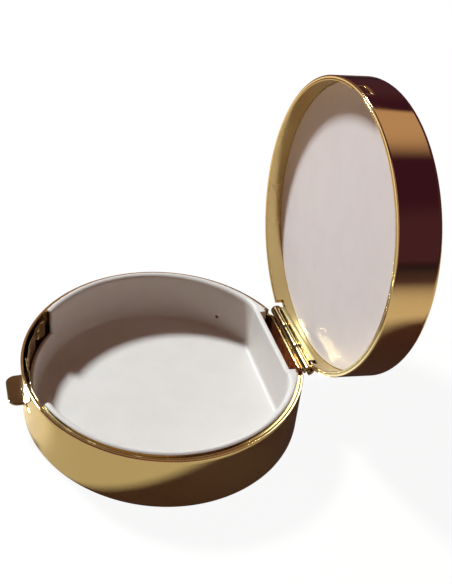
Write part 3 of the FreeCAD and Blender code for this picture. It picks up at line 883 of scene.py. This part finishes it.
def make_disc():
    """White disc with a rounded edge, its face dished a little inside the edge."""
    rim = DISC.outer - DISC_EDGE - 0.05
    radii = [0.0, 8.0, 15.0] + list(np.linspace(rim - DISH_WIDTH, rim, 14))
    face = []
    for r in radii:
        share = max(0.0, 1 - (rim - r) / DISH_WIDTH)
        face.append((r, DISC.bottom + DISC_DISH * (1 - share ** 2.4)))
    edge = rounded([(rim - 0.5, DISC.bottom), (DISC.outer, DISC.bottom), (DISC.outer, DISC.top),
                    (rim, DISC.top)], [0, DISC_EDGE, 0.1, 0], 8)[1:-1]
    outline = face + edge + [(r, DISC.top) for r in reversed(radii)]
    disc = lathe("lid_inlay", outline)
    finish(disc, "lid", DISC_WHITE, "lid_disc")


KEEPER_SPAN = 5.0
PAD_RADIUS = 28.5


def make_keeper():
    """Small ledge that stands in from the lid wall, with worn edges."""
    outline = rounded([(KEEPER.inner, KEEPER.bottom), (KEEPER.outer, KEEPER.bottom),
                       (KEEPER.outer, KEEPER.top), (KEEPER.inner, KEEPER.top)], [0.1, 0.03, 0.03, 0.1], 4)
    start = CATCH_ANGLE - KEEPER_SPAN / 2
    keeper = lathe("keeper", outline, start, start + KEEPER_SPAN, 1440)
    finish(keeper, "lid", INNER, "lid_keeper")


def make_pad():
    """Pressed board pad behind the disc, with a soft edge and a slightly uneven face."""
    low, top = PAD.bottom, PAD.top
    edge = rounded([(PAD_RADIUS * 0.97, low), (PAD_RADIUS, low), (PAD_RADIUS, top),
                    (PAD_RADIUS * 0.97, top)], [0, 0.3, 0.3, 0], 5)[1:-1]
    radii = [PAD_RADIUS * share for share in (0.96, 0.85, 0.7, 0.5, 0.3, 0.12)]
    outline = [(0.0, low)] + [(r, low) for r in reversed(radii)] + edge
    outline += [(r, top) for r in radii] + [(0.0, top)]
    pad = lathe("backing_pad", outline, segments=192)
    finish(pad, "lid", BOARD, "lid_backing_pad")


# ---------- hinge

LEAF_FRONT = CASE_LEAF.low[1]
LEAF_BACK = LEAF_FRONT + 0.5
LEAF_HALF = 9.3
LEAF_TOP = 13.0
LID_LEAF_LOW = 13.4
LID_KNUCKLE_HALF = 3.45
CASE_KNUCKLE_FROM = 3.6
CASE_KNUCKLE_TO = CASE_LEAF.high[0]
BARREL = 1.2
ROLL_HALF = 0.275
ROLL_EDGE = 0.13
ROLL_MIDDLE = BARREL - ROLL_HALF
ROLL_TURN = math.radians(292)
ROLL_TAIL = HINGE_Y - (LEAF_FRONT + LEAF_BACK) / 2


def roll(name, x_from, x_to, tail_to, upside):
    """A knuckle rolled from sheet: a straight tail, then round the pin.

    upside is -1 for a tail under the pin and 1 for a tail over it. The tail ends at tail_to
    from the middle of the hinge, and the roll may run on beyond it.
    """
    length = ROLL_TAIL + ROLL_MIDDLE * ROLL_TURN
    ends = [x for x in (-tail_to, tail_to) if x_from + EPSILON < x < x_to - EPSILON]
    holes = [(*sorted((x, 2 * x)), -1.0, ROLL_TAIL) for x in ends]
    us = graded([x_from, *ends, x_to], 0.8, ROLL_EDGE)
    vs = np.concatenate([graded([0, ROLL_TAIL], 0.5, 0.1)[:-1],
                         graded([ROLL_TAIL, length], ROLL_MIDDLE * math.radians(9), 0.1)])

    def place(u, v, w):
        turn = np.clip((v - ROLL_TAIL) / ROLL_MIDDLE, 0, None)
        radius = ROLL_MIDDLE + w
        y = HINGE_Y + np.minimum(v - ROLL_TAIL, 0) + radius * np.sin(turn)
        z = HINGE_Z + upside * radius * np.cos(turn)
        return np.stack([u, y, z], axis=-1)

    return sheet(name, us, vs, place, ROLL_HALF, holes, ROLL_EDGE)


def leaf_plate(name, low, high):
    """The flat part of a leaf, rounded along its edges and at its corners."""
    outline = rounded([(-LEAF_HALF, low), (LEAF_HALF, low), (LEAF_HALF, high), (-LEAF_HALF, high)], 0.35)
    plate = slab(name, outline, -LEAF_BACK, -LEAF_FRONT, 0.1)
    return move(plate, Matrix.Rotation(math.radians(90), 4, "X"))


def make_hinge_leaves():
    plate = leaf_plate("plate", CASE_LEAF.bottom, LEAF_TOP)
    near = roll("near", CASE_KNUCKLE_FROM, CASE_KNUCKLE_TO, LEAF_HALF, -1)
    far = roll("far", -CASE_KNUCKLE_TO, -CASE_KNUCKLE_FROM, LEAF_HALF, -1)
    leaf = joined("case_leaf", [plate, near, far])
    finish(leaf, "case", LEAF_GILT, "hinge_case_leaf")
    plate = leaf_plate("plate", LID_LEAF_LOW, LID_LEAF.top)
    middle = roll("middle", -LID_KNUCKLE_HALF, LID_KNUCKLE_HALF, LID_KNUCKLE_HALF, 1)
    leaf = joined("lid_leaf", [plate, middle])
    finish(leaf, "lid", HINGE_GILT, "hinge_lid_leaf")


PIN_RADIUS = 0.5
PIN_DOME = 0.22


def make_pin():
    """Hinge pin with domed ends."""
    reach = PIN.high[0]
    outline = [(0.0, -reach)]
    dome = np.radians(np.linspace(15, 90, 6))
    outline += [(PIN_RADIUS * math.sin(t), -reach + PIN_DOME * (1 - math.cos(t))) for t in dome]
    outline += [(PIN_RADIUS, x) for x in (-7.0, -3.5, 0.0, 3.5, 7.0)]
    outline += [(r, -z) for r, z in reversed(outline[:7])]
    pin = lathe("pin", outline, segments=40)
    move(pin, TO_HINGE @ Matrix.Rotation(math.radians(90), 4, "Y"))
    finish(pin, "case", HINGE_GILT, "hinge_pin")


# ---------- catch

STRIP_HALF = 0.175
STRIP_MIDDLE = SPRING.inner + 0.3 + STRIP_HALF
STRIP_FROM = -33.0
STRIP_TO = 20.0
STRIP_TOP = 11.9
FOOT_ANGLE = -27.5
FOOT_OUT = 0.34
FLANGE_FROM = -12.0
FLANGE_TO = 9.0
FLANGE_BEND = 0.2
FLANGE_OUT = 0.32
STRIP_EDGE = 0.08
FOOT_SPREAD = 3.6
HOOK_HALF = 3.6
NOSE_OUT = 0.07
NOSE_LOW = 0.75
NOSE_RISE = 0.45
RELIEF = 0.15
STUD_HEIGHTS = (8.7, 10.8)
STUD_END = 29.38


def eased(share):
    """A share held between 0 and 1 and eased at both."""
    share = np.clip(share, 0, 1)
    return share * share * (3 - 2 * share)


def make_spring():
    """Spring strip: joggled foot, turned-in upper edge on both sides of the hook, and hook."""
    per_degree = math.radians(1) * STRIP_MIDDLE
    hook_from = (CATCH_ANGLE - HOOK_HALF) * per_degree
    hook_to = (CATCH_ANGLE + HOOK_HALF) * per_degree
    start, stop = STRIP_FROM * per_degree, STRIP_TO * per_degree
    flange_from, flange_to = FLANGE_FROM * per_degree, FLANGE_TO * per_degree
    fold = STRIP_TOP - STRIP_HALF - FLANGE_BEND
    flange_end = fold + FLANGE_BEND * math.pi / 2 + FLANGE_OUT
    holes = [
        (start - 1, flange_from, STRIP_TOP, SPRING.top + 1),
        (flange_from, hook_from - RELIEF, flange_end, SPRING.top + 1),
        (hook_from - RELIEF, hook_from, fold, SPRING.top + 1),
        (hook_to, hook_to + RELIEF, fold, SPRING.top + 1),
        (hook_to + RELIEF, flange_to, flange_end, SPRING.top + 1),
        (flange_to, stop + 1, STRIP_TOP, SPRING.top + 1)]
    us = graded([start, flange_from, hook_from - RELIEF, hook_from, hook_to, hook_to + RELIEF,
                 flange_to, stop], 0.45, STRIP_EDGE)
    vs = graded([SPRING.bottom, fold, STRIP_TOP, flange_end, SPRING.top], 0.25, STRIP_EDGE)

    def place(u, v, w):
        foot = np.exp(-(((u / per_degree - FOOT_ANGLE) / FOOT_SPREAD) ** 4))
        is_hook = (u > hook_from - EPSILON) & (u < hook_to + EPSILON)
        is_flange = (u > flange_from - EPSILON) & (u < flange_to + EPSILON) & ~is_hook
        turn = np.where(is_flange, np.clip((v - fold) / FLANGE_BEND, 0, math.pi / 2), 0.0)
        beyond = np.where(is_flange, np.clip(v - fold - FLANGE_BEND * math.pi / 2, 0, None), 0.0)
        nose = eased((v - SPRING.top + NOSE_LOW) / NOSE_RISE) * is_hook
        radius = STRIP_MIDDLE + FOOT_OUT * foot + NOSE_OUT * nose
        radius = radius - FLANGE_BEND + (FLANGE_BEND + w) * np.cos(turn) - beyond
        plain = np.where(is_flange, np.minimum(v, fold), v)
        height = plain + (FLANGE_BEND + w) * np.sin(turn)
        return turned(u / per_degree, radius, height)

    spring = sheet("spring", us, vs, place, STRIP_HALF, holes, STRIP_EDGE)
    finish(spring, "catch", SPRING_GILT, "catch_spring")


def make_studs():
    """Two domed rivets through the spring's foot into the case wall."""
    seat = STRIP_MIDDLE - STRIP_HALF + FOOT_OUT
    shank, head, crown = 0.4, 0.75, 0.36
    outline = [(0.0, seat - crown)]
    for turn in np.radians(np.linspace(12, 80, 7)):
        outline.append((head * math.sin(turn), seat - 0.05 - (crown - 0.05) * math.cos(turn)))
    outline += [(head, seat - 0.04), (head - 0.04, seat), (shank, seat), (shank, STUD_END),
                (0.0, STUD_END)]
    studs = []
    for index, height in enumerate(STUD_HEIGHTS):
        stud = lathe("stud_%d" % index, outline, segments=40)
        aim = Vector(turned(FOOT_ANGLE, 1.0, 0.0)).to_track_quat("Z", "Y").to_matrix().to_4x4()
        studs.append(move(stud, Matrix.Translation((0, 0, height)) @ aim))
    pair = joined("rivets", studs)
    finish(pair, "case", HINGE_GILT, "catch_studs")


TAB_HALF = 4.4
TAB_CORNER = 2.1
TAB_REACH = 33.2
TAB_THICK = 0.4
TAB_BEND = 0.25
TAB_FOOT_HALF = 2.8
TAB_FOOT_CORNER = 0.5
TAB_FOOT_MIDDLE = 29.01
TAB_FOOT_THIN = 0.65
TAB_NECK = 0.35
TAB_NECK_LENGTH = 0.3
TAB_EDGE = 0.14


def make_tab():
    """Thumb tab bent from strip: flat plate with round outer corners, upturned foot inside."""
    half = TAB_THICK / 2
    middle = TAB.bottom + half
    flat = TAB_REACH - TAB_FOOT_MIDDLE - TAB_BEND
    bend = TAB_BEND * math.pi / 2
    length = flat + bend + TAB.top - middle - TAB_BEND

    def half_width(v):
        from_end = np.clip(TAB_CORNER - v, 0, TAB_CORNER)
        plate = TAB_HALF - TAB_CORNER + np.sqrt(TAB_CORNER ** 2 - from_end ** 2)
        from_top = np.clip(TAB_FOOT_CORNER - (length - v), 0, TAB_FOOT_CORNER)
        foot = TAB_FOOT_HALF - TAB_FOOT_CORNER + np.sqrt(TAB_FOOT_CORNER ** 2 - from_top ** 2)
        return plate + (foot - plate) * eased((v - flat + TAB_NECK) / TAB_NECK_LENGTH)

    def place(u, v, w):
        turn = np.clip((v - flat) / TAB_BEND, 0, math.pi / 2)
        rise = np.clip(v - flat - bend, 0, None)
        thin = 1 - (1 - TAB_FOOT_THIN) * turn / (math.pi / 2)
        arm = TAB_BEND - w * thin
        away = TAB_REACH - np.minimum(v, flat)
        away = np.where(v > flat, TAB_FOOT_MIDDLE + TAB_BEND - arm * np.sin(turn), away)
        height = middle + TAB_BEND - arm * np.cos(turn) + rise
        return np.stack([u / TAB_HALF * half_width(v), -away, height], axis=-1)

    round_end = TAB_CORNER * (1 - np.cos(np.radians(np.arange(0, 90, 7.5))))
    plain = graded([TAB_CORNER, flat - 0.4, flat], 0.35, 0.1)
    curve = flat + bend * np.linspace(0, 1, 7)[1:-1]
    upright = graded([flat + bend, length - TAB_FOOT_CORNER], 0.35, 0.05)
    top_end = length - TAB_FOOT_CORNER * (1 - np.cos(np.radians(np.arange(75, -1, -15))))
    vs = np.concatenate([round_end, plain, curve, upright, top_end])
    us = graded([-TAB_HALF, TAB_HALF], 0.35, TAB_EDGE)
    tab = sheet("tab", us, vs, place, half, (), TAB_EDGE)
    move(tab, Matrix.Rotation(math.radians(CATCH_ANGLE), 4, "Z"))
    finish(tab, "catch", TAB_GILT, "thumb_tab")


make_case_shell()
make_case_collar()
make_liner()
make_lid_shell()
make_lid_band()
make_disc()
make_hinge_leaves()
make_pin()
make_spring()
make_studs()
make_tab()
make_keeper()
make_pad()


# ---------- floor, room and light

def direction(turn, rise):
    """A unit direction: turn in degrees from -Y towards +X, rise in degrees above the floor."""
    a, e = math.radians(turn), math.radians(rise)
    return Vector((math.sin(a) * math.cos(e), -math.cos(a) * math.cos(e), math.sin(e)))


FLOOR_RADIUS = 4.0
TABLE = (0.40, 0.38, 0.29)
TABLE_SHADE = (0.36, 0.34, 0.255)
TABLE_BRIGHT = (0.57, 0.50, 0.385)
TABLE_FAR = (0.085, 0.036, 0.032)
# painted light: a faint glow that lifts the table's shadow as seen in reflections
TABLE_PAINTED_GLOW = (0.008, 0.010, 0.017)
# painted pool of light on the table just in front of the case, seen only in reflections
PAINTED_POOL = (0.58, 0.57, 0.49)
PAINTED_POOL_PLACE = (5.0, -33.0, 0.0)
STUDIO_GREY = (0.07, 0.07, 0.07)
WHITE = (1.0, 1.0, 1.0)


def make_floor():
    """Pale floor: near white to the camera, a warm lit table in reflections, with a painted pool of light
    and a faint painted glow.
    """
    bpy.ops.mesh.primitive_circle_add(vertices=128, radius=FLOOR_RADIUS, fill_type="NGON")
    floor = bpy.context.object
    floor.name = "floor"
    material, nodes, place = new_material("floor")

    def lit(color, glow, strength=1.0):
        diffuse = nodes.add("ShaderNodeBsdfDiffuse", color)
        emission = nodes.add("ShaderNodeEmission", glow, strength)
        return nodes.add("ShaderNodeAddShader", diffuse.outputs[0], emission.outputs[0]).outputs[0]

    distance = nodes.vector_math("LENGTH", place)
    spread = nodes.ramp(nodes.noise(place, 0.012, detail=2.0), 0.35, 0.65)
    table = nodes.mix(spread, TABLE, TABLE_SHADE)
    table = nodes.mix(nodes.ramp(distance, 62.0, 95.0), table, TABLE_BRIGHT)
    # painted pool of light: the table's colour brightens close to one place
    pool_distance = nodes.vector_math("DISTANCE", place, PAINTED_POOL_PLACE)
    table = nodes.mix(nodes.ramp(pool_distance, 12.0, 4.0), table, PAINTED_POOL)
    table = nodes.mix(nodes.ramp(distance, 130.0, 320.0), table, TABLE_FAR)
    glow = nodes.ramp(distance, 200.0, 1200.0, 0.93, 1.0)
    # the table seen in reflections glows faintly: painted light
    choice = nodes.by_ray("Is Camera Ray", lit(table, TABLE_PAINTED_GLOW), lit(STUDIO_GREY, WHITE, glow))
    nodes.add("ShaderNodeOutputMaterial", choice)
    floor.data.materials.append(material)
    return floor


ROOM_LOW = (0.030, 0.011, 0.017)
ROOM_MIDDLE = (0.055, 0.018, 0.034)
ROOM_HIGH = (0.036, 0.008, 0.022)
FILL = (0.088, 0.024, 0.008)

# bright patches of the room, as (turn, rise), and their colours
PATCH = (-146.0, 54.0)
PATCH_COLOR = (0.46, 0.29, 0.21)
SIDE = (-100.0, 30.0)
SIDE_COLOR = (0.30, 0.175, 0.115)
FRONT = (48.0, 26.0)
FRONT_COLOR = (0.42, 0.30, 0.28)


def make_room():
    """White surround to the camera; a dim warm room with soft bright patches in reflections."""
    world = bpy.data.worlds.new("room")
    scene.world = world
    nodes = Nodes(world)
    look = nodes.add("ShaderNodeTexCoord").outputs["Generated"]

    def patch(place, low, high):
        toward = nodes.vector_math("DOT_PRODUCT", look, tuple(direction(*place)))
        return nodes.ramp(toward, low, high)

    def even(color):
        return nodes.add("ShaderNodeBackground", color).outputs[0]

    height = nodes.vector_math("DOT_PRODUCT", look, (0.0, 0.0, 1.0))
    room = nodes.mix(nodes.ramp(height, 0.0, 0.06), ROOM_LOW, ROOM_MIDDLE)
    room = nodes.mix(nodes.ramp(height, 0.42, 0.62), room, ROOM_HIGH)
    over = nodes.math("MULTIPLY", patch(PATCH, 0.87, 0.995), nodes.ramp(height, 0.66, 0.70))
    room = nodes.mix(over, room, PATCH_COLOR)
    room = nodes.mix(patch(SIDE, 0.93, 0.985), room, SIDE_COLOR)
    room = nodes.mix(patch(FRONT, 0.72, 0.82), room, FRONT_COLOR)
    inner = nodes.by_ray("Is Glossy Ray", even(FILL), even(room))
    nodes.add("ShaderNodeOutputWorld", nodes.by_ray("Is Camera Ray", inner, even(WHITE)))


OBJECT_KEY = (-60.0, 46.0)
FLOOR_KEY = (-53.0, 47.0)
KEY_DISTANCE = 950.0
KEY_RADIUS = 75.0
KEY_POWER = 13.8
KEY_AIM = Vector((0, 0, 20))


def make_key(name, place, color, floor, link_state):
    """A soft round key light on the catch side, for the floor only or for all but the floor."""
    light = bpy.data.lights.new(name, "AREA")
    light.shape = "DISK"
    light.size = 2 * KEY_RADIUS * MM
    light.energy = KEY_POWER
    light.color = color
    lamp = linked(name, light)
    aim = direction(*place)
    lamp.location = (KEY_AIM + aim * KEY_DISTANCE) * MM
    lamp.rotation_euler = aim.to_track_quat("Z", "Y").to_euler()
    receivers = bpy.data.collections.new(name + "_receivers")
    receivers.objects.link(floor)
    receivers.collection_objects[0].light_linking.link_state = link_state
    lamp.light_linking.receiver_collection = receivers


VIEW_TURN = 78.605
VIEW_RISE = 30.189
VIEW_ROLL = 2.33
VIEW_DISTANCE = 157.261
VIEW_TARGET = Vector((-10.018, -4.036, 42.595))
VIEW_LENS = 47.304
VIEW_SHIFT = (0.14732, -0.14071)


def make_camera():
    back = direction(VIEW_TURN, VIEW_RISE)
    level = Vector((0, 0, 1)).cross(back).normalized()
    upright = back.cross(level)
    lean = math.radians(VIEW_ROLL)
    right = math.cos(lean) * level + math.sin(lean) * upright
    above = -math.sin(lean) * level + math.cos(lean) * upright
    camera = bpy.data.cameras.new("camera")
    camera.lens = VIEW_LENS
    camera.sensor_width = 36.0
    camera.shift_x, camera.shift_y = VIEW_SHIFT
    camera.clip_start = 0.001
    holder = linked("camera", camera)
    place = Matrix((right, above, back)).transposed().to_4x4()
    place.translation = (VIEW_TARGET + back * VIEW_DISTANCE) * MM
    holder.matrix_world = place
    scene.camera = holder


studio_floor = make_floor()
make_room()
make_key("object_key", OBJECT_KEY, (0.90, 1.05, 1.14), studio_floor, "EXCLUDE")
make_key("floor_key", FLOOR_KEY, (1.0, 0.975, 0.94), studio_floor, "INCLUDE")
make_camera()
scene.view_settings.view_transform = "Standard"
scene.cycles.blur_glossy = 0.35
scene.cycles.sample_clamp_indirect = 0.0
